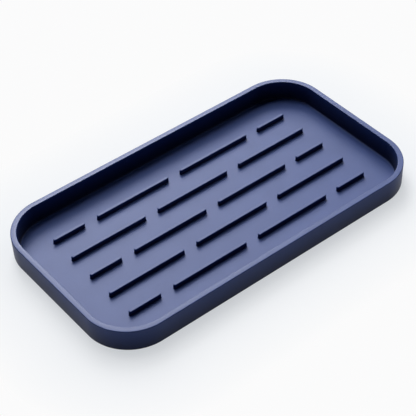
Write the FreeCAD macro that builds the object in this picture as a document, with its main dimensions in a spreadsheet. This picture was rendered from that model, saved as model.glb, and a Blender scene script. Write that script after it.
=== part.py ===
import FreeCAD, Part
import math
import os
import Sketcher

# Ribbed sink tray: a shallow rounded-rectangle tray with a low drafted wall,
# a flat floor and a field of raised ribs laid like bricks in rows along its length.
# Origin: centre of the flat base. +X along the tray, +Y towards its back, +Z up.

# Driving sizes in millimetres and degrees: name, value and meaning.
SIZES = [
    ("tray_length", 255.0, "outside length at the rim"),
    ("tray_width", 140.0, "outside width at the rim"),
    ("tray_height", 16.5, "base to rim"),
    ("corner_radius", 32.5, "outside corner at the rim, in plan"),
    ("wall_thickness", 4.0, "wall at the rim"),
    ("floor_thickness", 1.8, "base to the top of the floor"),
    ("wall_draft", 0.5, "lean of both wall faces from upright"),
    ("rim_rounding", 0.6, "both edges of the rim"),
    ("base_bevel", 0.5, "outside edge of the base"),
    ("floor_rounding", 1.2, "hollow corner between wall and floor"),
    ("rib_end_margin", 24.0, "inside of the rim to the tips of the ribs"),
    ("rib_side_margin", 24.5, "inside of the rim to the middle of the outer rows"),
    ("rib_gap", 10.0, "gap between the ribs of a row"),
    ("rib_width", 2.4, "rib from side to side"),
    ("rib_height", 3.7, "rib above the floor"),
    ("crest_bevel", 0.4, "edge of a rib's crest"),
]

# Sizes worked out from the driving ones.
WELL_LENGTH = "(sizes.tray_length - 2 * sizes.wall_thickness)"
WELL_WIDTH = "(sizes.tray_width - 2 * sizes.wall_thickness)"
WELL_CORNER = "(sizes.corner_radius - sizes.wall_thickness)"
WELL_DEPTH = "(sizes.tray_height - sizes.floor_thickness)"
FIELD_LENGTH = f"({WELL_LENGTH} - 2 * sizes.rib_end_margin)"
FIELD_WIDTH = f"({WELL_WIDTH} - 2 * sizes.rib_side_margin)"
LONG_RIB = f"(({FIELD_LENGTH} - 2 * sizes.rib_gap) / 3)"
SHORT_RIB = f"(({LONG_RIB} - sizes.rib_gap) / 2)"
RIB_PITCH = f"({LONG_RIB} + sizes.rib_gap)"
END_RIB_PLACE = f"(({FIELD_LENGTH} - {SHORT_RIB}) / 2)"

# A rounding or bevel takes no more than this share of the wall, floor or rib that it is on.
EDGE_SHARE = 0.4
RIM_ROUNDING = f"min(sizes.rim_rounding; {EDGE_SHARE} * sizes.wall_thickness)"
BASE_BEVEL = f"min(sizes.base_bevel; {EDGE_SHARE} * sizes.floor_thickness)"
FLOOR_ROUNDING = f"min(sizes.floor_rounding; {EDGE_SHARE} * {WELL_DEPTH})"
CREST_BEVEL = f"min(sizes.crest_bevel; {EDGE_SHARE} * min(sizes.rib_width; sizes.rib_height))"

# The rows from the back to the front. Staggered and straight rows take turns,
# so that each gap lies beside the middle of a rib in the next row.
ROW_NAMES = ["back", "mid_back", "centre", "mid_front", "front"]
ROW_PITCH = f"({FIELD_WIDTH} / {len(ROW_NAMES) - 1})"

# The ribs of a row: name, length and the place of its middle along the tray.
STAGGERED_ROW = [
    ("left_end", SHORT_RIB, f"-{END_RIB_PLACE}"),
    ("left", LONG_RIB, f"-{RIB_PITCH} / 2"),
    ("right", LONG_RIB, f"{RIB_PITCH} / 2"),
    ("right_end", SHORT_RIB, END_RIB_PLACE),
]
STRAIGHT_ROW = [
    ("left", LONG_RIB, f"-{RIB_PITCH}"),
    ("middle", LONG_RIB, "0"),
    ("right", LONG_RIB, RIB_PITCH),
]

# The points of a sketched line or arc, and the sketch's own origin.
START = 1
END = 2
CENTRE = 3
ORIGIN = (-1, 1)
UP = FreeCAD.Vector(0, 0, 1)

LEVEL_TOLERANCE = 1e-4


def make_sheet(doc):
    """The sheet of driving sizes, one row each with its name, value and meaning."""
    sheet = doc.addObject("Spreadsheet::Sheet", "sizes")
    for row, (name, value, meaning) in enumerate(SIZES, 1):
        sheet.set(f"A{row}", name)
        sheet.set(f"B{row}", str(value))
        sheet.setAlias(f"B{row}", name)
        sheet.set(f"C{row}", meaning)
    doc.recompute()
    return sheet


def add_body(doc, label):
    body = doc.addObject("PartDesign::Body", label)
    body.Label = label
    return body


def base_plane(body):
    """The XY plane of the body's own origin."""
    planes = {feature.Role: feature for feature in body.Origin.OriginFeatures}
    return planes["XY_Plane"]


def add_sketch(body, name, level="0"):
    """A sketch at a level above the body's own XY plane."""
    sketch = body.newObject("Sketcher::SketchObject", name)
    sketch.AttachmentSupport = [(base_plane(body), "")]
    sketch.MapMode = "FlatFace"
    sketch.setExpression("AttachmentOffset.Base.z", level)
    return sketch


def draw_loop(sketch, centres, radius):
    """A closed loop round the given centres: an arc about each and a tangent line to the next."""
    turn = 2 * math.pi / len(centres)
    arcs = []
    for index, (x, y) in enumerate(centres):
        first = index * turn - math.pi / 2
        circle = Part.Circle(FreeCAD.Vector(x, y, 0), UP, radius)
        arcs.append(Part.ArcOfCircle(circle, first, first + turn))
    for arc, following in zip(arcs, arcs[1:] + arcs[:1]):
        sketch.addGeometry(arc)
        sketch.addGeometry(Part.LineSegment(arc.EndPoint, following.StartPoint))
    count = 2 * len(arcs)
    for index in range(count):
        sketch.addConstraint(Sketcher.Constraint("Tangent", index, END, (index + 1) % count, START))
    for index in range(2, count, 2):
        sketch.addConstraint(Sketcher.Constraint("Equal", 0, index))


def set_size(sketch, name, expression, kind, *places):
    """A named constraint of some kind that follows the sheet."""
    value = sketch.evalExpression(expression)
    index = sketch.addConstraint(Sketcher.Constraint(kind, *places, value))
    sketch.renameConstraint(index, name)
    sketch.setExpression(f"Constraints.{name}", expression)


def draw_rounded_rectangle(sketch, length, width, radius):
    """A rectangle about the origin with four equal round corners."""
    corner = sketch.evalExpression(radius)
    x = sketch.evalExpression(length) / 2 - corner
    y = sketch.evalExpression(width) / 2 - corner
    draw_loop(sketch, [(x, -y), (x, y), (-x, y), (-x, -y)], corner)
    right, back, left, front = 1, 3, 5, 7
    for side in (right, left):
        sketch.addConstraint(Sketcher.Constraint("Vertical", side))
    for side in (back, front):
        sketch.addConstraint(Sketcher.Constraint("Horizontal", side))
    sketch.addConstraint(Sketcher.Constraint("Symmetric", 0, CENTRE, 4, CENTRE, *ORIGIN))
    set_size(sketch, "length", length, "DistanceX", left, START, right, START)
    set_size(sketch, "width", width, "DistanceY", front, START, back, START)
    set_size(sketch, "corner", radius, "Radius", 0)


def draw_slot(sketch, length, width):
    """A slot about the origin along X: two straight sides and two half-round ends."""
    between_ends = f"{length} - {width}"
    x = sketch.evalExpression(between_ends) / 2
    draw_loop(sketch, [(x, 0), (-x, 0)], sketch.evalExpression(width) / 2)
    right_end, side, left_end = 0, 1, 2
    sketch.addConstraint(Sketcher.Constraint("Horizontal", side))
    sketch.addConstraint(Sketcher.Constraint("Symmetric", right_end, CENTRE, left_end, CENTRE, *ORIGIN))
    set_size(sketch, "between_ends", between_ends, "DistanceX", left_end, CENTRE, right_end, CENTRE)
    set_size(sketch, "width", width, "Diameter", right_end)


def add_drafted(body, kind, name, sketch, depth, draft):
    """A pad or pocket of a sketch whose sides lean inwards, away from the sketch."""
    feature = body.newObject(kind, name)
    feature.Profile = sketch
    feature.setExpression("Length", depth)
    feature.setExpression("TaperAngle", f"-{draft}")
    return feature


def find_edges(doc, body, name, level):
    """The body's last feature and every edge of it that lies flat at a level."""
    doc.recompute()
    base = body.Tip
    edges = []
    for number, edge in enumerate(base.Shape.Edges, 1):
        box = edge.BoundBox
        if max(abs(box.ZMin - level), abs(box.ZMax - level)) < LEVEL_TOLERANCE:
            edges.append(f"Edge{number}")
    if not edges:
        raise RuntimeError(f"{name}: no edge lies at {level} mm")
    return base, edges


def round_edges(doc, body, name, level, radius):
    """Round every edge of the body's last feature that lies flat at a level."""
    edges = find_edges(doc, body, name, level)
    fillet = body.newObject("PartDesign::Fillet", name)
    fillet.Base = edges
    fillet.setExpression("Radius", radius)


def bevel_edges(doc, body, name, level, size):
    """Bevel every edge of the body's last feature that lies flat at a level."""
    edges = find_edges(doc, body, name, level)
    chamfer = body.newObject("PartDesign::Chamfer", name)
    chamfer.Base = edges
    chamfer.setExpression("Size", size)


def make_tray(doc, sheet):
    """Floor and wall: a drafted block, hollowed from the rim, with its edges finished."""
    body = add_body(doc, "tray")
    outline = add_sketch(body, "rim_outline", "sizes.tray_height")
    draw_rounded_rectangle(outline, "sizes.tray_length", "sizes.tray_width", "sizes.corner_radius")
    block = add_drafted(body, "PartDesign::Pad", "block", outline, "sizes.tray_height", "sizes.wall_draft")
    block.Reversed = True
    mouth = add_sketch(body, "well_outline", "sizes.tray_height")
    draw_rounded_rectangle(mouth, WELL_LENGTH, WELL_WIDTH, WELL_CORNER)
    well = add_drafted(body, "PartDesign::Pocket", "well", mouth, WELL_DEPTH, "sizes.wall_draft")
    doc.recompute()
    if well.Shape.Volume >= block.Shape.Volume:
        raise RuntimeError("the well did not hollow the block")
    round_edges(doc, body, "rim_edges", sheet.tray_height, RIM_ROUNDING)
    bevel_edges(doc, body, "base_edge", 0.0, BASE_BEVEL)
    round_edges(doc, body, "floor_corner", sheet.floor_thickness, FLOOR_ROUNDING)
    return body


def make_rib(doc, sheet, label, length, place_x, place_y):
    """One rib: an upright slot shape with a bevelled crest, standing on the floor."""
    body = add_body(doc, label)
    foot = add_sketch(body, f"{label}_foot")
    draw_slot(foot, length, "sizes.rib_width")
    bar = body.newObject("PartDesign::Pad", f"{label}_bar")
    bar.Profile = foot
    bar.setExpression("Length", "sizes.rib_height")
    bevel_edges(doc, body, f"{label}_crest", sheet.rib_height, CREST_BEVEL)
    body.setExpression("Placement.Base.x", place_x)
    body.setExpression("Placement.Base.y", place_y)
    body.setExpression("Placement.Base.z", "sizes.floor_thickness")
    return body


def make_ribs(doc, sheet):
    """The whole field of ribs, row by row from the back."""
    ribs = []
    for row, row_name in enumerate(ROW_NAMES):
        place_y = f"{FIELD_WIDTH} / 2 - {row} * {ROW_PITCH}"
        layout = STRAIGHT_ROW if row % 2 else STAGGERED_ROW
        for rib_name, length, place_x in layout:
            label = f"rib_{row_name}_{rib_name}"
            ribs.append(make_rib(doc, sheet, label, length, place_x, place_y))
    return ribs


def check(doc, bodies):
    """Stop if any feature failed or any sub-part isn't one sound solid."""
    for item in doc.Objects:
        if "Invalid" in item.State or "Error" in item.State:
            raise RuntimeError(f"{item.Label} failed: {item.State}")
    for body in bodies:
        shape = body.Shape
        if shape.isNull() or not shape.isValid() or len(shape.Solids) != 1:
            raise RuntimeError(f"{body.Label} is not one sound solid")


def write(bodies):
    os.makedirs("parts", exist_ok=True)
    for body in bodies:
        body.Shape.exportStep(f"parts/{body.Label}.step")
        box = body.Shape.BoundBox
        print(f"{body.Label}: {body.Shape.Volume / 1000:.2f} cm3, Z {box.ZMin:.2f} to {box.ZMax:.2f} mm")


def main():
    doc = FreeCAD.newDocument("sink_tray")
    sheet = make_sheet(doc)
    bodies = [make_tray(doc, sheet)] + make_ribs(doc, sheet)
    doc.recompute()
    check(doc, bodies)
    write(bodies)


main()
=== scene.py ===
"""A ribbed silicone sink tray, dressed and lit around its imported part."""

import math

import bpy
import numpy as np
from mathutils import Matrix, Vector


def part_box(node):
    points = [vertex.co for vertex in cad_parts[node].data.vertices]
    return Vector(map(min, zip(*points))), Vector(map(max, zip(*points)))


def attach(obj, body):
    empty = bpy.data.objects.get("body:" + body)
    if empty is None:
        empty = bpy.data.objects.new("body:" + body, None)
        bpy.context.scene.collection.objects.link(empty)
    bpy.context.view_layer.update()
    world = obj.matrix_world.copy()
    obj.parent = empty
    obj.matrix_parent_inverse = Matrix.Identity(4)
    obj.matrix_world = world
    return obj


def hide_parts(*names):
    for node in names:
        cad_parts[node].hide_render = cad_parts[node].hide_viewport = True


bl_info = {
    "name": "Ribbed sink tray",
    "version": (1, 0, 0),
    "blender": (4, 5, 0),
    "location": "3D view > Sidebar > Sink tray",
    "description": "Makes a moulded silicone sink tray with draining ribs, and a plain studio round it",
    "category": "Object",
}

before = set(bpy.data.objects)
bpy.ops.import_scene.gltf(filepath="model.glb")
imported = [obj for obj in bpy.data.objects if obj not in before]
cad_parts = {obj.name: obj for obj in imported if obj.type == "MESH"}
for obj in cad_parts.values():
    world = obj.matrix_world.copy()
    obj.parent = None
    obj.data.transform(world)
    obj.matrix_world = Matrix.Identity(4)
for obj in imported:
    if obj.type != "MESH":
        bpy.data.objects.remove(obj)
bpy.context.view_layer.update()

MM = 0.001
TRAY_NODE = "tray"
RIB_PREFIX = "rib_"
RIB_NODES = sorted(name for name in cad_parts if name.startswith(RIB_PREFIX))
FIRST_RIB = RIB_NODES[0]
BODY = "root"
PICTURE_SIZE = 416
UP = Vector((0, 0, 1))

# Steps of the meshes: per quarter turn in plan, along the sides, and across the section.
CORNER_STEPS = 32
LONG_SIDE_STEPS = 38
SHORT_SIDE_STEPS = 15
EDGE_STEPS = 8
WALL_STEPS = 5
RIM_STEPS = 4
RIB_END_STEPS = 10
RIB_SIDE_STEPS = 12
RIB_WALL_STEPS = 3
SWEEP_TURN_STEPS = 24

# Rings in the flat part of the floor, as shares of its radius.
FLOOR_RINGS = (0.1, 1 / 3, 2 / 3)

# How quickly the painted light gives way to painted shade where a face turns from level to upright, in the
# tray's corners and over a crest, and by what power of that painted-light mask the clear film fades.
TRAY_PAINTED_LIGHT_POWER = 4
RIB_PAINTED_LIGHT_POWER = 1.5
FILM_POWER = 3

# Share of the outside's painted light left at the foot, painted darker there, and of the rim's wear at its
# outer edge.
FOOT_PAINTED_LIGHT = 1 / 3
OUTER_WEAR = 1 / 4

# How strongly silicone and the clear film of its bloom bend and mirror light.
SILICONE_IOR = 1.41
SILICONE_SPECULAR = 0.16
FILM_IOR = 1.5

# Features per metre of the speckle in the painted light, the waves in the moulding and the smears of use.
SPECKLE_SCALE = 900.0
WAVE_SCALE = 70.0
SMEAR_SCALE = 45.0

# Height of the waves next to the grain, share of the speckle in the painted light's noise, and how far up
# and down the noise moves the painted light, its film and the roughness.
WAVE_SHARE = 0.4
SPECKLE_SHARE = 0.35
PAINTED_LIGHT_SWING = 0.20
FILM_SWING = 0.15
ROUGHNESS_SWING = 0.06


def tray_extent(axis):
    """Length of the tray's packed box along X, Y or Z."""
    low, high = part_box(TRAY_NODE)
    return high[axis] - low[axis]


def length_size(name, description, default):
    """A size in metres for a property group."""
    return bpy.props.FloatProperty(
        name=name, description=description, default=default, unit="LENGTH", precision=5
    )


def angle_size(name, description, degrees):
    """An angle for a property group, written in degrees."""
    return bpy.props.FloatProperty(
        name=name, description=description, default=math.radians(degrees), subtype="ANGLE", precision=4
    )


def plain_colour(name, description, default):
    """A linear colour for a property group."""
    return bpy.props.FloatVectorProperty(
        name=name, description=description, default=default, subtype="COLOR", size=3, min=0, max=1
    )


def share(name, description, default):
    """A share from 0 to 1 for a property group."""
    return bpy.props.FloatProperty(
        name=name, description=description, default=default, min=0, max=1, subtype="FACTOR"
    )


def lamp_watts(name, default):
    """A lamp's power for a property group."""
    return bpy.props.FloatProperty(name=name, description="Watts", default=default, unit="POWER")


def picture_shift(name, description, default):
    """A shift of the whole picture in pixels for a property group."""
    return bpy.props.FloatProperty(name=name, description=description, default=default, subtype="PIXEL")


class TraySizes(bpy.types.PropertyGroup):
    """Sizes of the tray's floor and wall."""

    length: length_size("Length", "Outside length at the rim", tray_extent(0))
    width: length_size("Width", "Outside width at the rim", tray_extent(1))
    height: length_size("Height", "Base to rim", tray_extent(2))
    floor: length_size("Floor", "Base to the top of the floor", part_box(FIRST_RIB)[0].z)
    corner: length_size("Corner", "Outside corner radius at the rim, in plan", 32.5 * MM)
    wall: length_size("Wall", "Wall thickness", 4.0 * MM)
    draft: angle_size("Draft", "Lean of both wall faces from upright", 0.5)
    rim_rounding: length_size("Rim rounding", "Radius of the outer edge of the rim", 0.60 * MM)
    lip_rounding: length_size("Lip rounding", "Radius of the inner edge of the rim", 0.45 * MM)
    base_rounding: length_size("Base rounding", "Radius of the outside edge of the base", 0.35 * MM)
    floor_rounding: length_size("Floor rounding", "Radius of the hollow between wall and floor", 1.2 * MM)


class RibSizes(bpy.types.PropertyGroup):
    """Sizes that all the ribs share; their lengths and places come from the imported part."""

    lean: angle_size("Lean", "Lean of a rib's sides from upright", 2.0)
    crest_rounding: length_size("Crest rounding", "Radius along the sides of a rib's crest", 0.44 * MM)
    tip_rounding: length_size("Tip rounding", "Radius of the crest's edge at a rib's two tips", 1.0 * MM)
    root_fillet: length_size("Root fillet", "Radius of the hollow between a rib and the floor", 0.35 * MM)
    root_depth: length_size("Root depth", "How far a rib's root reaches into the floor", 0.1 * MM)


class SiliconeFinish(bpy.types.PropertyGroup):
    """Colours and surface of the navy silicone, with a lit and a shaded colour painted on by facing and
    height.
    """

    # The first colour is painted shade on upright faces, the second painted light on faces that look up.
    shaded_navy: plain_colour("Deep navy", "Shaded colour on upright faces, painted shade", (0.008, 0.012, 0.043))
    lit_navy: plain_colour("Pale navy", "Lit colour on faces that look up, painted light", (0.030, 0.063, 0.231))
    # Painted light left at the top edge of upright faces, which darken towards their feet as painted shade.
    inner_painted_light: share("Inner painted light", "Painted light at the top edge of upright faces in the well", 0.67)
    outer_painted_light: share("Outer painted light", "Painted light at the top edge of the outside", 0.62)
    bare: share("Bare", "Roughness of upright faces", 0.30)
    satin: share("Satin", "Roughness of faces that look up", 0.66)
    film: share("Film", "Clear film on faces that look up", 0.61)
    film_roughness: share("Film roughness", "Roughness of that film", 0.47)
    polish: share("Polish", "Roughness along the handled rim and crests", 0.24)
    crest_wear: share("Crest wear", "How much the ribs' crests are rubbed, next to the rim", 0.3)
    grain: length_size("Grain", "Size of the fine moulded grain", 0.5 * MM)
    grain_depth: length_size("Grain depth", "Height of the fine moulded grain", 0.006 * MM)
    mottle: length_size("Mottle", "Size of the soft patches of tone", 22 * MM)


class StudioSettings(bpy.types.PropertyGroup):
    """Floor, light and camera."""

    paper: plain_colour("Paper", "Colour of the floor and sweep", (0.80, 0.80, 0.805))
    white: plain_colour("White", "Colour the paper shows away from the tray", (0.965, 0.965, 0.968))
    # Painted shade tint laid over the shadow at the tray's foot.
    painted_shade_white: plain_colour("Painted shade white", "Colour over the shadow at the tray's foot", (0.91, 0.945, 0.985))
    shadow_fill: share("Shadow fill", "How much of that colour lies over the shadow there", 0.61)
    shadow_reach: length_size("Shadow reach", "How far from the tray the paper takes its shadow", 60 * MM)
    paper_radius: length_size("Paper radius", "Flat part of the floor, from its middle", 3.5)
    sweep_rise: length_size("Sweep rise", "Height of the round sweep at the edge of the floor", 1.3)
    lamp_turn: angle_size("Softbox turn", "From the tray's back towards its right", 7.7)
    lamp_rise: angle_size("Softbox rise", "Above the floor", 59.1)
    lamp_distance: length_size("Softbox distance", "From the middle of the tray", 2.91)
    lamp_width: length_size("Softbox width", "From side to side", 1.69)
    lamp_height: length_size("Softbox height", "From its lower to its upper edge", 1.81)
    lamp_power: lamp_watts("Softbox power", 51.5)
    sheen_turn: angle_size("Sheen softbox turn", "From the tray's back towards its right", 28.9)
    sheen_rise: angle_size("Sheen softbox rise", "Above the floor", 36.5)
    sheen_distance: length_size("Sheen softbox distance", "From the middle of the tray", 3.0)
    sheen_width: length_size("Sheen softbox width", "From side to side", 1.27)
    sheen_height: length_size("Sheen softbox height", "From its lower to its upper edge", 1.44)
    sheen_power: lamp_watts("Sheen softbox power", 66.8)
    side_turn: angle_size("Side softbox turn", "From the tray's back towards its right", 80)
    side_rise: angle_size("Side softbox rise", "Above the floor", 35)
    side_distance: length_size("Side softbox distance", "From the middle of the tray", 2.5)
    side_size: length_size("Side softbox size", "Side of its square", 1.5)
    side_power: lamp_watts("Side softbox power", 13.1)
    ambient: plain_colour("Ambient", "Dim light from the rest of the room", (0.001, 0.001, 0.001))
    view_turn: angle_size("View turn", "From the tray's front towards its right", -37.461)
    view_rise: angle_size("View rise", "Above the floor", 43.13)
    view_roll: angle_size("View roll", "About the line of sight", -2.261)
    view_distance: length_size("View distance", "From the middle of the tray's base", 872.2 * MM)
    lens: bpy.props.FloatProperty(name="Lens", description="Focal length", default=112.7, unit="CAMERA")
    offset_right: picture_shift("Offset right", "Picture moved right", 4.18)
    offset_down: picture_shift("Offset down", "Picture moved down", 2.79)


def round_path(reach_x, reach_y, corner_steps, long_steps, short_steps):
    """A closed loop, anticlockwise from the direction +X, as core points and outward directions.

    A point at some radius is core + radius * direction. At a corner the core stays on the corner's
    centre while the direction makes a quarter turn. Along a side the direction stays and the core moves.
    """
    quarter = math.pi / 2
    centres = np.array([[1, 1], [-1, 1], [-1, -1], [1, -1]]) * [reach_x, reach_y]
    cores, angles = [], []
    for turn in range(4):
        cores.append(np.repeat(centres[turn:turn + 1], corner_steps, axis=0))
        angles.append(turn * quarter + np.linspace(0, quarter, corner_steps, endpoint=False))
        steps = short_steps if turn % 2 else long_steps
        along = np.linspace(0, 1, steps, endpoint=False)[:, None]
        cores.append(centres[turn] + along * (centres[(turn + 1) % 4] - centres[turn]))
        angles.append(np.full(steps, (turn + 1) * quarter))
    angle = np.concatenate(angles)
    return np.concatenate(cores), np.column_stack([np.cos(angle), np.sin(angle)])


def arc(centre, radius, first, last, hollow=False):
    """Points and normals of an arc in the section's plane, as radius and height, in rows and columns.

    The normal turns from the first angle to the last, row by row. A point is the centre plus the radius
    along the normal, or minus it on a hollow arc, whose centre is in the air. An arc that is the same all
    round has one column, and one whose centre and radius change has a column for each place on the path.
    """
    angle = np.linspace(first, last, EDGE_STEPS + 1)[:, None]
    normals = np.dstack([np.cos(angle), np.sin(angle)])
    side = -1 if hollow else 1
    middle = np.dstack(np.broadcast_arrays(*np.atleast_1d(*centre)))
    return middle + side * np.reshape(radius, (1, -1, 1)) * normals, normals


def chain(arcs, steps):
    """A section of arcs joined by straight stretches, each cut into that many even steps.

    Arcs of one column are repeated where another arc has more.
    """
    columns = max(points.shape[1] for points, normals in arcs)
    arcs = [(np.broadcast_to(points, (len(points), columns, 2)), normals) for points, normals in arcs]
    points, normals = [arcs[0][0]], [arcs[0][1]]
    for (before, turned), (after, turning), count in zip(arcs, arcs[1:], steps):
        along = np.linspace(0, 1, count + 1)[1:-1, None, None]
        points += [before[-1] + along * (after[0] - before[-1]), after]
        normals += [np.repeat(turned[-1:], count - 1, axis=0), turning]
    return np.concatenate(points), np.concatenate(normals)


def tray_profile(sizes):
    """Section of the tray from the edge of its base, up the outside, over the rim and down to the floor.

    A leaning face holds the points with radius * cos(draft) - height * sin(draft) = reach. An edge's arc
    has its centre one rounding inside both faces that it joins, and the floor's hollow arc one outside.
    """
    lean = math.sin(sizes.draft)
    upright = math.cos(sizes.draft)
    outer_reach = sizes.corner * upright - sizes.height * lean
    inner_reach = outer_reach - sizes.wall * upright

    def centre(reach, height):
        return (reach + height * lean) / upright, height

    base, rim, lip, cove = sizes.base_rounding, sizes.rim_rounding, sizes.lip_rounding, sizes.floor_rounding
    down, up, left = -math.pi / 2, math.pi / 2, math.pi
    arcs = [
        arc(centre(outer_reach - base, base), base, down, -sizes.draft),
        arc(centre(outer_reach - rim, sizes.height - rim), rim, -sizes.draft, up),
        arc(centre(inner_reach + lip, sizes.height - lip), lip, up, left - sizes.draft),
        arc(centre(inner_reach - cove, sizes.floor + cove), cove, left - sizes.draft, up, hollow=True),
    ]
    return chain(arcs, [WALL_STEPS, RIM_STEPS, WALL_STEPS])


def rib_profile(sizes, half_width, floor, crest, edge):
    """Section of a rib from its root in the floor, up its leaning side and over the edge of its crest.

    The side holds the points with radius * cos(lean) + height * sin(lean) = reach. The hollow root arc
    has its centre one fillet outside the side and above the floor, and the crest's arc one rounding inside.
    The edge gives that rounding at each place on the path.
    """
    lean = math.sin(sizes.lean)
    upright = math.cos(sizes.lean)
    reach = half_width * upright + floor * lean

    def centre(side, height):
        return (side - height * lean) / upright, height

    root = sizes.root_fillet
    up = math.pi / 2
    arcs = [
        arc(centre(reach + root, floor + root), root, up, sizes.lean, hollow=True),
        arc(centre(reach - edge, crest - edge), edge, sizes.lean, up),
    ]
    points, normals = chain(arcs, [RIB_WALL_STEPS])
    sunk = points[:1] - [0, sizes.root_depth]
    return np.concatenate([sunk, points]), np.concatenate([[[[1, 0]]], normals])


def ring_quads(shape):
    """The number of each point in rows of closed rings, and the quads between one row and the next."""
    index = np.arange(shape[0] * shape[1]).reshape(shape)
    following = np.roll(index, -1, axis=1)
    quads = np.stack([index[:-1], following[:-1], following[1:], index[1:]], axis=-1)
    return index, quads.reshape(-1, 4)


def carry(profile, path):
    """A profile carried round a path, as points and normals in rows and the quads between the rows.

    A point is the path's core plus the profile's radius along the path's direction, at the profile's
    height. A normal takes its level part along the direction and its upright part from the profile.
    """
    (points, normals), (core, direction) = profile, path
    level = core + points[..., :1] * direction
    turned = normals[..., :1] * direction
    shape = level.shape[:2]
    height = np.broadcast_to(points[..., 1], shape)
    tilt = np.broadcast_to(normals[..., 1], shape)
    return np.dstack([level, height]), np.dstack([turned, tilt]), ring_quads(shape)[1]


def ruled_patch(ring):
    """A grid over the inside of a flat closed ring, and the ring's own index at the grid's border, else -1.

    The ring is cut into four sides at the middles of its corners. A grid point is the blend of the two
    facing sides along one way, plus the blend along the other way, less the blend of the four corners.
    """
    across = CORNER_STEPS + LONG_SIDE_STEPS
    along = CORNER_STEPS + SHORT_SIDE_STEPS
    order = (CORNER_STEPS // 2 + np.arange(2 * (across + along) + 1)) % len(ring)
    back = order[:across + 1][::-1]
    left = order[across:across + along + 1][::-1]
    front = order[across + along:2 * across + along + 1]
    right = order[2 * across + along:]
    u = np.linspace(0, 1, across + 1)[None, :, None]
    v = np.linspace(0, 1, along + 1)[:, None, None]
    facing = (1 - v) * ring[front][None] + v * ring[back][None]
    ends = (1 - u) * ring[left][:, None] + u * ring[right][:, None]
    low = (1 - u) * ring[front[0]] + u * ring[front[-1]]
    high = (1 - u) * ring[back[0]] + u * ring[back[-1]]
    border = np.full((along + 1, across + 1), -1)
    border[0], border[-1], border[:, 0], border[:, -1] = front, back, left, right
    return facing + ends - (1 - v) * low - v * high, border


def close_with_patch(points, row, facing_up):
    """New points and quads of a ruled patch that closes a row of a carried profile."""
    grid, border = ruled_patch(points[row, :, :2])
    offset = row % len(points) * points.shape[1]
    inside = border < 0
    index = np.where(inside, 0, border + offset)
    index[inside] = points[..., 0].size + np.arange(inside.sum())
    height = np.full((inside.sum(), 1), points[row, 0, 2])
    quads = np.stack([index[:-1, :-1], index[:-1, 1:], index[1:, 1:], index[1:, :-1]], axis=-1)
    quads = quads.reshape(-1, 4)
    return np.hstack([grid[inside], height]), quads if facing_up else quads[:, ::-1]


def close_with_ladder(count, offset, facing_up):
    """Faces that close a slot-shaped ring: rungs between mirrored points, and a triangle at each tip."""
    half = count // 2
    near = np.arange(1, half - 1)
    quads = np.column_stack([near, near + 1, count - near - 1, count - near]) + offset
    tips = np.array([[0, 1, count - 1], [half - 1, half, half + 1]]) + offset
    faces = quads.tolist() + tips.tolist()
    return faces if facing_up else [face[::-1] for face in faces]


def handled_share(profile, top, rounding):
    """How much hands rub each point of a profile: fully at its top, fading out two roundings below."""
    return np.clip((profile[0][..., 1] - top) / (2 * rounding) + 1, 0, 1)


def painted_light_share(profile, power, foot, top, inner_painted_light, outer_painted_light=None):
    """How much painted light lies on each point of a profile: all for the lit colour, none for painted
    shade.

    A face that looks up has all of it, and loses it by a power of its normal's upright part as it turns.
    An upright face in the well has its share at the top edge, less by the square of the height, and none at
    the foot, so it is painted darker downwards. The outside's share thins evenly to a set part of it at the
    foot.
    """
    points, normals = profile
    level = np.clip(normals[..., 1], 0, 1) ** power
    height = np.clip((points[..., 1] - foot) / (top - foot), 0, 1)
    upright = inner_painted_light * height ** 2
    if outer_painted_light is not None:
        outside = outer_painted_light * (FOOT_PAINTED_LIGHT + (1 - FOOT_PAINTED_LIGHT) * height)
        upright = np.where(normals[..., 0] > 0, outside, upright)
    return level + (1 - level) * upright


def add_mesh(name, points, faces, material):
    """A smooth mesh in the scene, from points and the faces between them."""
    mesh = bpy.data.meshes.new(name)
    mesh.from_pydata(points.tolist(), [], faces)
    if mesh.validate():
        raise RuntimeError(f"{name} has broken faces")
    mesh.polygons.foreach_set("use_smooth", np.ones(len(mesh.polygons), bool))
    mesh.materials.append(material)
    item = bpy.data.objects.new(name, mesh)
    bpy.context.scene.collection.objects.link(item)
    return item


def add_piece(name, surface, material):
    """A closed mesh that rides on the part's body, with its normals and its material's masks."""
    points, normals, faces, masks = surface
    piece = add_mesh(name, points, faces, material)
    piece.data.normals_split_custom_set_from_vertices(normals.tolist())
    for mask, values in masks.items():
        attribute = piece.data.attributes.new(mask, "FLOAT", "POINT")
        attribute.data.foreach_set("value", values.astype(np.float32))
    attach(piece, BODY)
    return piece


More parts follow.
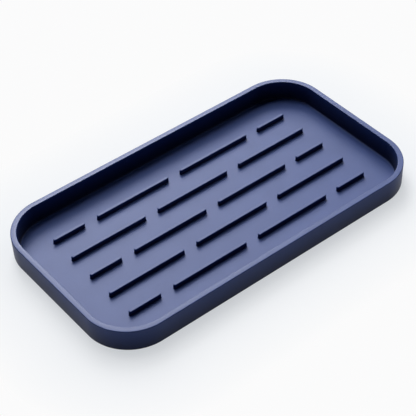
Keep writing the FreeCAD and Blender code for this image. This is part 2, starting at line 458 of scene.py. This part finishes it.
def tray_surface(sizes, finish):
    """The tray's skin: its section carried round a rounded rectangle, with its base and floor closed.

    The rim is rubbed most along its inner edge, and evenly less to OUTER_WEAR of that at its outer one.
    """
    path = round_path(
        sizes.length / 2 - sizes.corner,
        sizes.width / 2 - sizes.corner,
        CORNER_STEPS,
        LONG_SIDE_STEPS,
        SHORT_SIDE_STEPS,
    )
    profile = tray_profile(sizes)
    points, normals, quads = carry(profile, path)
    floor_points, floor_quads = close_with_patch(points, -1, True)
    base_points, base_quads = close_with_patch(points, 0, False)
    base_quads = np.where(base_quads >= points[..., 0].size, base_quads + len(floor_points), base_quads)
    above = np.concatenate([np.ones(len(floor_points)), np.zeros(len(base_points))])
    flat = np.outer(2 * above - 1, [0, 0, 1])
    inward = np.clip((sizes.corner - profile[0][..., 0]) / sizes.wall, 0, 1)
    handled = handled_share(profile, sizes.height, sizes.rim_rounding)
    handled = handled * (OUTER_WEAR + (1 - OUTER_WEAR) * inward)
    # Painted light and shade: the lit colour on the floor and faces that look up, painted shade on upright
    # faces, darker towards their feet, and on the base.
    painted_light = painted_light_share(
        profile, TRAY_PAINTED_LIGHT_POWER, sizes.floor, sizes.height, finish.inner_painted_light, finish.outer_painted_light
    )
    count = len(path[0])
    return (
        np.concatenate([points.reshape(-1, 3), floor_points, base_points]),
        np.concatenate([normals.reshape(-1, 3), flat]),
        np.concatenate([quads, floor_quads, base_quads]).tolist(),
        {
            "polish": np.concatenate([np.repeat(handled, count), np.zeros(len(flat))]),
            "painted_light": np.concatenate([np.repeat(painted_light, count), above]),
        },
    )


def rib_surface(node, sizes, finish):
    """One rib: its section carried round a slot shape, with its crest and root closed.

    The crest's rounding grows from the sides to the tips, with the square of the direction's X part.
    """
    low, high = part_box(node)
    middle = (low + high) / 2
    half_width = (high.y - low.y) / 2
    reach = (high.x - low.x) / 2 - half_width
    core, direction = round_path(reach, 0, RIB_END_STEPS, RIB_SIDE_STEPS, 0)
    edge = sizes.crest_rounding + (sizes.tip_rounding - sizes.crest_rounding) * direction[:, 0] ** 2
    profile = rib_profile(sizes, half_width, low.z, high.z, edge)
    points, normals, quads = carry(profile, (core + [middle.x, middle.y], direction))
    rows, count = points.shape[:2]
    faces = quads.tolist()
    faces += close_with_ladder(count, (rows - 1) * count, True)
    faces += close_with_ladder(count, 0, False)
    # Painted light on the crest, painted shade down the rib's sides, darkest at the root.
    painted_light = painted_light_share(profile, RIB_PAINTED_LIGHT_POWER, low.z, high.z, finish.inner_painted_light)
    handled = finish.crest_wear * handled_share(profile, high.z, edge)
    masks = {"polish": handled.ravel(), "painted_light": painted_light.ravel()}
    return points.reshape(-1, 3), normals.reshape(-1, 3), faces, masks


def new_group(name, inputs, outputs):
    """A shader node group with named sockets, or the one already made, and whether it is new."""
    group = bpy.data.node_groups.get(name)
    if group:
        return group, False
    group = bpy.data.node_groups.new(name, "ShaderNodeTree")
    for socket, kind in inputs:
        group.interface.new_socket(name=socket, in_out="INPUT", socket_type=kind)
    for socket, kind in outputs:
        group.interface.new_socket(name=socket, in_out="OUTPUT", socket_type=kind)
    return group, True


def add_node(tree, kind, place, **settings):
    """A node at a place on the sheet, with its settings and, by name or number, its input values."""
    node = tree.nodes.new(kind)
    node.location = place
    values = settings.pop("inputs", {})
    for key, value in settings.items():
        setattr(node, key, value)
    for key, value in values.items():
        node.inputs[key].default_value = value
    return node


def noise_at(tree, place, detail, roughness=0.5, scale=1.0):
    """A noise texture with a scale in features per metre, unless its Scale is linked."""
    return add_node(
        tree,
        "ShaderNodeTexNoise",
        place,
        inputs={"Scale": scale, "Detail": detail, "Roughness": roughness},
    )


def swing_range(swing):
    """Map Range values that turn a noise from 0 to 1 into a factor about 1."""
    return {"To Min": 1 - swing, "To Max": 1 + swing}


def grain_group():
    """Height of the fine grain that a blasted mould leaves, over low waves where the silicone flowed."""
    group, fresh = new_group(
        "moulded_grain",
        [("Vector", "NodeSocketVector"), ("Fineness", "NodeSocketFloat")],
        [("Height", "NodeSocketFloat")],
    )
    if not fresh:
        return group
    source = add_node(group, "NodeGroupInput", (-600, 0))
    result = add_node(group, "NodeGroupOutput", (400, 0))
    fine = noise_at(group, (-300, 150), detail=3.0, roughness=0.6)
    waves = noise_at(group, (-300, -150), detail=1.0, scale=WAVE_SCALE)
    blend = add_node(group, "ShaderNodeMath", (100, 0), operation="MULTIPLY_ADD", inputs={1: WAVE_SHARE})
    group.links.new(source.outputs["Vector"], fine.inputs["Vector"])
    group.links.new(source.outputs["Fineness"], fine.inputs["Scale"])
    group.links.new(source.outputs["Vector"], waves.inputs["Vector"])
    group.links.new(waves.outputs["Fac"], blend.inputs[0])
    group.links.new(fine.outputs["Fac"], blend.inputs[2])
    group.links.new(blend.outputs["Value"], result.inputs["Height"])
    return group


def tone_group():
    """Colour of the silicone: a shaded tone as painted shade and a lit tone as painted light, mixed by the
    painted-light mask, uneven in soft wide patches and a fine speckle.
    """
    group, fresh = new_group(
        "silicone_tone_and_painted_light",
        [
            ("Vector", "NodeSocketVector"),
            ("Painted light", "NodeSocketFloat"),
            ("Patches", "NodeSocketFloat"),
            ("Speckle", "NodeSocketFloat"),
            ("Deep", "NodeSocketColor"),
            ("Pale", "NodeSocketColor"),
        ],
        [("Color", "NodeSocketColor")],
    )
    if not fresh:
        return group
    source = add_node(group, "NodeGroupInput", (-700, 0))
    result = add_node(group, "NodeGroupOutput", (500, 0))
    patches = noise_at(group, (-400, 150), detail=2.0)
    speckle = noise_at(group, (-400, -150), detail=1.0)
    blend = add_node(
        group, "ShaderNodeMix", (-200, 0), data_type="FLOAT", inputs={"Factor": SPECKLE_SHARE}
    )
    uneven = add_node(group, "ShaderNodeMapRange", (0, 0), inputs=swing_range(PAINTED_LIGHT_SWING))
    cover = add_node(group, "ShaderNodeMath", (150, 0), operation="MULTIPLY")
    tone = add_node(group, "ShaderNodeMix", (300, 0), data_type="RGBA", clamp_factor=False)
    group.links.new(source.outputs["Vector"], patches.inputs["Vector"])
    group.links.new(source.outputs["Patches"], patches.inputs["Scale"])
    group.links.new(source.outputs["Vector"], speckle.inputs["Vector"])
    group.links.new(source.outputs["Speckle"], speckle.inputs["Scale"])
    group.links.new(patches.outputs["Fac"], blend.inputs["A"])
    group.links.new(speckle.outputs["Fac"], blend.inputs["B"])
    group.links.new(blend.outputs["Result"], uneven.inputs["Value"])
    group.links.new(uneven.outputs["Result"], cover.inputs[0])
    group.links.new(source.outputs["Painted light"], cover.inputs[1])
    group.links.new(cover.outputs["Value"], tone.inputs["Factor"])
    group.links.new(source.outputs["Deep"], tone.inputs["A"])
    group.links.new(source.outputs["Pale"], tone.inputs["B"])
    group.links.new(tone.outputs["Result"], result.inputs["Color"])
    return group


def sheen_group():
    """Roughness of the silicone: satin faces with faint smears, smoother where hands and sponges rub.

    The film is a power of the painted-light mask, times the cover, made uneven by the same smears.
    """
    group, fresh = new_group(
        "handled_sheen",
        [
            ("Vector", "NodeSocketVector"),
            ("Painted light", "NodeSocketFloat"),
            ("Polished", "NodeSocketFloat"),
            ("Bare", "NodeSocketFloat"),
            ("Satin", "NodeSocketFloat"),
            ("Polish", "NodeSocketFloat"),
            ("Cover", "NodeSocketFloat"),
        ],
        [("Roughness", "NodeSocketFloat"), ("Film", "NodeSocketFloat")],
    )
    if not fresh:
        return group
    source = add_node(group, "NodeGroupInput", (-700, 0))
    result = add_node(group, "NodeGroupOutput", (600, 0))
    smears = noise_at(group, (-400, -150), detail=3.0, scale=SMEAR_SCALE)
    spread = add_node(
        group,
        "ShaderNodeMath",
        (-150, -150),
        operation="MULTIPLY_ADD",
        inputs={1: 2 * ROUGHNESS_SWING, 2: -ROUGHNESS_SWING},
    )
    faces = add_node(group, "ShaderNodeMix", (-150, 150), data_type="FLOAT")
    rubbed = add_node(group, "ShaderNodeMix", (100, 100), data_type="FLOAT")
    total = add_node(group, "ShaderNodeMath", (350, 0), operation="ADD")
    group.links.new(source.outputs["Vector"], smears.inputs["Vector"])
    group.links.new(smears.outputs["Fac"], spread.inputs[0])
    group.links.new(source.outputs["Polished"], rubbed.inputs["Factor"])
    group.links.new(source.outputs["Painted light"], faces.inputs["Factor"])
    group.links.new(source.outputs["Bare"], faces.inputs["A"])
    group.links.new(source.outputs["Satin"], faces.inputs["B"])
    group.links.new(faces.outputs["Result"], rubbed.inputs["A"])
    group.links.new(source.outputs["Polish"], rubbed.inputs["B"])
    group.links.new(rubbed.outputs["Result"], total.inputs[0])
    group.links.new(spread.outputs["Value"], total.inputs[1])
    group.links.new(total.outputs["Value"], result.inputs["Roughness"])
    smeared = add_node(group, "ShaderNodeMapRange", (-150, -400), inputs=swing_range(FILM_SWING))
    level = add_node(group, "ShaderNodeMath", (-150, -600), operation="POWER", inputs={1: FILM_POWER})
    covered = add_node(group, "ShaderNodeMath", (100, -400), operation="MULTIPLY")
    film = add_node(group, "ShaderNodeMath", (350, -400), operation="MULTIPLY")
    group.links.new(smears.outputs["Fac"], smeared.inputs["Value"])
    group.links.new(smeared.outputs["Result"], covered.inputs[0])
    group.links.new(source.outputs["Painted light"], level.inputs[0])
    group.links.new(level.outputs["Value"], covered.inputs[1])
    group.links.new(covered.outputs["Value"], film.inputs[0])
    group.links.new(source.outputs["Cover"], film.inputs[1])
    group.links.new(film.outputs["Value"], result.inputs["Film"])
    return group


def place_group(tree, group, place, **values):
    """A node group in a material, with its own values."""
    return add_node(tree, "ShaderNodeGroup", place, node_tree=group, inputs=values)


def silicone_material(name, finish):
    """Navy silicone: grain, tone with its painted light and shade, and sheen from the shared groups, on one
    satin shader.
    """
    material = bpy.data.materials.new(name)
    material.use_nodes = True
    tree = material.node_tree
    shader = tree.nodes["Principled BSDF"]
    shader.inputs["IOR"].default_value = SILICONE_IOR
    shader.inputs["Specular IOR Level"].default_value = SILICONE_SPECULAR
    shader.inputs["Coat Roughness"].default_value = finish.film_roughness
    shader.inputs["Coat IOR"].default_value = FILM_IOR
    where = add_node(tree, "ShaderNodeTexCoord", (-1000, 0))
    rubbed = add_node(tree, "ShaderNodeAttribute", (-1000, -300), attribute_name="polish")
    # Painted light mask: full gives the lit colour, none gives painted shade.
    painted_light = add_node(tree, "ShaderNodeAttribute", (-1000, 300), attribute_name="painted_light")
    tone = place_group(
        tree,
        tone_group(),
        (-600, 250),
        Patches=1 / finish.mottle,
        Speckle=SPECKLE_SCALE,
        Deep=(*finish.shaded_navy, 1),
        Pale=(*finish.lit_navy, 1),
    )
    sheen = place_group(
        tree,
        sheen_group(),
        (-600, -50),
        Bare=finish.bare,
        Satin=finish.satin,
        Polish=finish.polish,
        Cover=finish.film,
    )
    grain = place_group(tree, grain_group(), (-600, -350), Fineness=1 / finish.grain)
    bump = add_node(tree, "ShaderNodeBump", (-300, -350), inputs={"Distance": finish.grain_depth})
    for group in (tone, sheen, grain):
        tree.links.new(where.outputs["Object"], group.inputs["Vector"])
    tree.links.new(rubbed.outputs["Fac"], sheen.inputs["Polished"])
    tree.links.new(painted_light.outputs["Fac"], sheen.inputs["Painted light"])
    tree.links.new(painted_light.outputs["Fac"], tone.inputs["Painted light"])
    tree.links.new(tone.outputs["Color"], shader.inputs["Base Color"])
    tree.links.new(sheen.outputs["Roughness"], shader.inputs["Roughness"])
    tree.links.new(sheen.outputs["Film"], shader.inputs["Coat Weight"])
    tree.links.new(grain.outputs["Height"], bump.inputs["Height"])
    tree.links.new(bump.outputs["Normal"], shader.inputs["Normal"])
    return material


def paper_material(studio, sizes):
    """White paper that takes the tray's shadow near it, lightened by a painted glow and tinted by painted
    cool shade at the foot, and shows plain white further off.

    The distance from the tray's outline is the length of (|place| - corner's centre, where above zero),
    less the corner's radius.
    """
    material = bpy.data.materials.new("studio_paper")
    material.use_nodes = True
    tree = material.node_tree
    tree.nodes.remove(tree.nodes["Principled BSDF"])
    output = tree.nodes["Material Output"]
    matt = add_node(tree, "ShaderNodeBsdfDiffuse", (0, 200), inputs={"Color": (*studio.paper, 1)})
    glow = add_node(tree, "ShaderNodeEmission", (0, 0))
    # Painted shade colour: cool white at the tray's foot, fading to plain white further off.
    tint = add_node(
        tree,
        "ShaderNodeMix",
        (-200, 0),
        data_type="RGBA",
        inputs={"A": (*studio.painted_shade_white, 1), "B": (*studio.white, 1)},
    )
    where = add_node(tree, "ShaderNodeTexCoord", (-1300, -200))
    one_corner = add_node(tree, "ShaderNodeVectorMath", (-1100, -200), operation="ABSOLUTE")
    past_centre = add_node(
        tree,
        "ShaderNodeVectorMath",
        (-900, -200),
        operation="SUBTRACT",
        inputs={1: (sizes.length / 2 - sizes.corner, sizes.width / 2 - sizes.corner, 0)},
    )
    outside = add_node(tree, "ShaderNodeVectorMath", (-700, -200), operation="MAXIMUM")
    away = add_node(tree, "ShaderNodeVectorMath", (-500, -200), operation="LENGTH")
    clear = add_node(
        tree,
        "ShaderNodeMapRange",
        (-500, 0),
        inputs={"From Min": sizes.corner, "From Max": sizes.corner + studio.shadow_reach},
    )
    fade = add_node(tree, "ShaderNodeMapRange", (-300, -200), inputs={"To Min": studio.shadow_fill})
    light = add_node(tree, "ShaderNodeLightPath", (-900, -500))
    seen = add_node(tree, "ShaderNodeMath", (-600, -500), operation="MAXIMUM")
    seen_any = add_node(tree, "ShaderNodeMath", (-400, -500), operation="MAXIMUM")
    amount = add_node(tree, "ShaderNodeMath", (-100, -300), operation="MULTIPLY")
    mix = add_node(tree, "ShaderNodeMixShader", (250, 100))
    tree.links.new(where.outputs["Object"], one_corner.inputs[0])
    tree.links.new(one_corner.outputs["Vector"], past_centre.inputs[0])
    tree.links.new(past_centre.outputs["Vector"], outside.inputs[0])
    tree.links.new(outside.outputs["Vector"], away.inputs[0])
    tree.links.new(away.outputs["Value"], clear.inputs["Value"])
    tree.links.new(clear.outputs["Result"], tint.inputs["Factor"])
    tree.links.new(tint.outputs["Result"], glow.inputs["Color"])
    tree.links.new(clear.outputs["Result"], fade.inputs["Value"])
    tree.links.new(light.outputs["Is Camera Ray"], seen.inputs[0])
    tree.links.new(light.outputs["Is Glossy Ray"], seen.inputs[1])
    tree.links.new(seen.outputs["Value"], seen_any.inputs[0])
    tree.links.new(light.outputs["Is Transmission Ray"], seen_any.inputs[1])
    tree.links.new(fade.outputs["Result"], amount.inputs[0])
    tree.links.new(seen_any.outputs["Value"], amount.inputs[1])
    tree.links.new(amount.outputs["Value"], mix.inputs[0])
    tree.links.new(matt.outputs["BSDF"], mix.inputs[1])
    tree.links.new(glow.outputs["Emission"], mix.inputs[2])
    tree.links.new(mix.outputs["Shader"], output.inputs["Surface"])
    return material


def make_sweep(studio, sizes):
    """Floor and backdrop: a flat disc whose edge rises in a quarter round, turned about the upright axis."""
    rise = np.linspace(0, math.pi / 2, SWEEP_TURN_STEPS)
    flat = np.array(FLOOR_RINGS) * studio.paper_radius
    radius = np.concatenate([flat, studio.paper_radius + studio.sweep_rise * np.sin(rise)])
    height = np.concatenate([np.zeros(len(flat)), studio.sweep_rise * (1 - np.cos(rise))])
    turn = np.linspace(0, 2 * math.pi, 4 * SWEEP_TURN_STEPS, endpoint=False)
    shape = (len(radius), len(turn))
    points = np.dstack([
        radius[:, None] * np.cos(turn),
        radius[:, None] * np.sin(turn),
        np.broadcast_to(height[:, None], shape),
    ])
    index, quads = ring_quads(shape)
    faces = quads[:, ::-1].tolist() + [index[0].tolist()]
    sweep = add_mesh("studio_sweep", points.reshape(-1, 3), faces, paper_material(studio, sizes))


def direction_at(turn, rise, start):
    """Unit vector at a turn from a level start direction towards +X, raised above the floor."""
    level = start * math.cos(turn) + Vector((1, 0, 0)) * math.sin(turn)
    return level * math.cos(rise) + UP * math.sin(rise)


def make_softbox(name, turn, rise, distance, size, power):
    """A softbox at a turn from the tray's back and a rise above the floor, facing the tray's middle."""
    data = bpy.data.lights.new(name, "AREA")
    data.shape = "RECTANGLE"
    data.size, data.size_y = size
    data.energy = power
    lamp = bpy.data.objects.new(name, data)
    away = direction_at(turn, rise, Vector((0, 1, 0)))
    lamp.location = away * distance
    lamp.rotation_euler = away.to_track_quat("Z", "Y").to_euler()
    lamp.visible_camera = False
    bpy.context.scene.collection.objects.link(lamp)


def make_lights(studio):
    """A high softbox behind the tray, a low one for the sheen, a weak one at the right, and a dim room."""
    make_softbox(
        "softbox",
        studio.lamp_turn,
        studio.lamp_rise,
        studio.lamp_distance,
        (studio.lamp_width, studio.lamp_height),
        studio.lamp_power,
    )
    make_softbox(
        "sheen_softbox",
        studio.sheen_turn,
        studio.sheen_rise,
        studio.sheen_distance,
        (studio.sheen_width, studio.sheen_height),
        studio.sheen_power,
    )
    make_softbox(
        "side_softbox",
        studio.side_turn,
        studio.side_rise,
        studio.side_distance,
        (studio.side_size, studio.side_size),
        studio.side_power,
    )
    world = bpy.data.worlds.new("dim_room")
    world.use_nodes = True
    world.node_tree.nodes["Background"].inputs["Color"].default_value = (*studio.ambient, 1)
    bpy.context.scene.world = world


def make_camera(studio):
    """Camera at the view's turn, rise and roll, looking at the middle of the tray's base."""
    data = bpy.data.cameras.new("camera")
    data.lens = studio.lens
    data.shift_x = -studio.offset_right / PICTURE_SIZE
    data.shift_y = studio.offset_down / PICTURE_SIZE
    camera = bpy.data.objects.new("camera", data)
    back = direction_at(studio.view_turn, studio.view_rise, Vector((0, -1, 0)))
    right = UP.cross(back).normalized()
    up = back.cross(right)
    roll_cos, roll_sin = math.cos(studio.view_roll), math.sin(studio.view_roll)
    turned = Matrix((right * roll_cos + up * roll_sin, up * roll_cos - right * roll_sin, back)).transposed()
    camera.matrix_world = Matrix.Translation(back * studio.view_distance) @ turned.to_4x4()
    bpy.context.scene.collection.objects.link(camera)
    bpy.context.scene.camera = camera


class SINKTRAY_OT_tray(bpy.types.Operator):
    """Make the tray's floor and wall as one closed moulded skin"""

    bl_idname = "sink_tray.make_tray"
    bl_label = "Tray"

    def execute(self, context):
        scene = context.scene
        finish = scene.silicone_finish
        material = silicone_material("tray_silicone", finish)
        piece = add_piece("tray_skin", tray_surface(scene.tray_sizes, finish), material)
        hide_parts(TRAY_NODE)
        return {"FINISHED"}


class SINKTRAY_OT_ribs(bpy.types.Operator):
    """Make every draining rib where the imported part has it"""

    bl_idname = "sink_tray.make_ribs"
    bl_label = "Ribs"

    def execute(self, context):
        scene = context.scene
        finish = scene.silicone_finish
        material = silicone_material("rib_silicone", finish)
        for node in RIB_NODES:
            surface = rib_surface(node, scene.rib_sizes, finish)
            piece = add_piece(f"moulded_{node}", surface, material)
            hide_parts(node)
        return {"FINISHED"}


class SINKTRAY_OT_studio(bpy.types.Operator):
    """Make the floor, the light and the camera"""

    bl_idname = "sink_tray.make_studio"
    bl_label = "Studio"

    def execute(self, context):
        scene = context.scene
        scene.view_settings.view_transform = "Standard"
        make_sweep(scene.studio_settings, scene.tray_sizes)
        make_lights(scene.studio_settings)
        make_camera(scene.studio_settings)
        return {"FINISHED"}


class SINKTRAY_PT_sidebar(bpy.types.Panel):
    """Lists the tray's makers and their sizes"""

    bl_idname = "SINKTRAY_PT_sidebar"
    bl_label = "Sink tray"
    bl_space_type = "VIEW_3D"
    bl_region_type = "UI"
    bl_category = "Sink tray"

    def draw(self, context):
        for operator, settings in PANEL_ROWS:
            box = self.layout.box()
            box.operator(operator.bl_idname)
            for group in settings:
                values = getattr(context.scene, group)
                for name in values.__annotations__:
                    box.prop(values, name)


GROUPS = {
    "tray_sizes": TraySizes,
    "rib_sizes": RibSizes,
    "silicone_finish": SiliconeFinish,
    "studio_settings": StudioSettings,
}
PANEL_ROWS = [
    (SINKTRAY_OT_tray, ["tray_sizes", "silicone_finish"]),
    (SINKTRAY_OT_ribs, ["rib_sizes"]),
    (SINKTRAY_OT_studio, ["studio_settings"]),
]
CLASSES = [*GROUPS.values(), SINKTRAY_OT_tray, SINKTRAY_OT_ribs, SINKTRAY_OT_studio, SINKTRAY_PT_sidebar]


def register():
    for item in CLASSES:
        bpy.utils.register_class(item)
    for name, group in GROUPS.items():
        setattr(bpy.types.Scene, name, bpy.props.PointerProperty(type=group))


def unregister():
    for name in GROUPS:
        delattr(bpy.types.Scene, name)
    for item in reversed(CLASSES):
        bpy.utils.unregister_class(item)


def main():
    register()
    bpy.ops.sink_tray.make_tray()
    bpy.ops.sink_tray.make_ribs()
    bpy.ops.sink_tray.make_studio()


if __name__ == "__main__":
    main()
